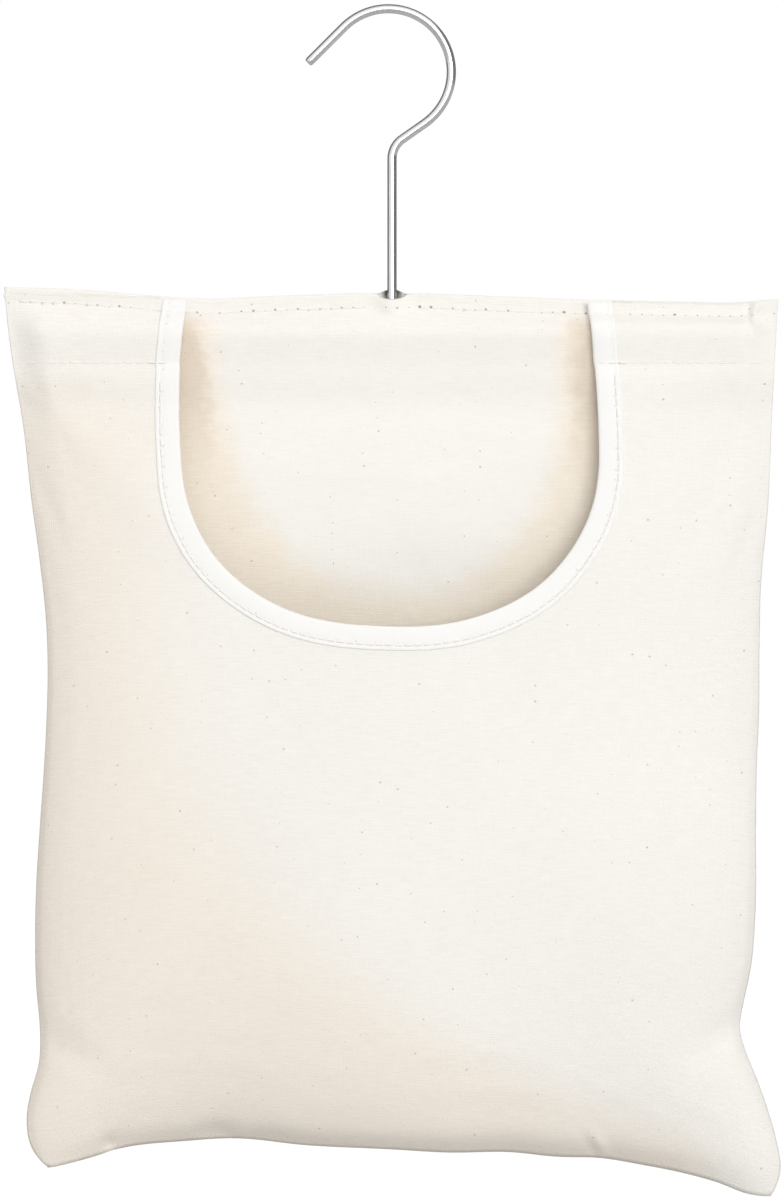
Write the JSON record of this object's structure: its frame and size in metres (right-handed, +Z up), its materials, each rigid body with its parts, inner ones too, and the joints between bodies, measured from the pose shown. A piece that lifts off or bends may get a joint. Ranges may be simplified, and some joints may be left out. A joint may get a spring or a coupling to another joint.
{
  "type": "peg bag",
  "caption": "Natural canvas clothes-peg bag with a white-bound U-shaped mouth in its front, hung from a swivelling plated wire hook by a wooden rod in its sewn top channel.",
  "frame": {"origin": "inside the crook of the hook, straight above its shank, where a line or rail carries the bag", "axes": "+Z up along the shank, +X to the right of someone who faces the mouth, +Y to the back, so the mouth faces -Y"},
  "size_m": [0.292, 0.0604, 0.4435],
  "materials": {
    "canvas": "unbleached plain-weave cotton canvas with seed flecks",
    "binding_tape": "bright white cotton bias tape",
    "sewing_thread": "off-white polyester-cotton thread",
    "plated_wire": "bright nickel-plated steel wire",
    "rod_wood": "plain sanded beech dowel"
  },
  "bodies": {
    "hook": {"hook": "plated_wire"},
    "bag": {"shank_washer": "plated_wire", "hanger_rod": "rod_wood", "back_panel": "canvas", "front_panel": "canvas", "left_shoulder_hem": "canvas", "right_shoulder_hem": "canvas", "left_seam_allowance": "canvas", "right_seam_allowance": "canvas", "bottom_seam_allowance": "canvas", "mouth_binding": "binding_tape", "top_thread_left": "sewing_thread", "top_thread_right": "sewing_thread", "top_bobbin_left": "sewing_thread", "top_bobbin_right": "sewing_thread", "channel_thread": "sewing_thread", "channel_bobbin": "sewing_thread", "binding_thread": "sewing_thread"}
  },
  "joints": [
    {"name": "hook_swivel", "type": "hinge", "parent": "hook", "child": "bag", "pos_m": [0, 0, -0.1218], "axis": [0, 0, 1], "continuous": true}
  ]
}
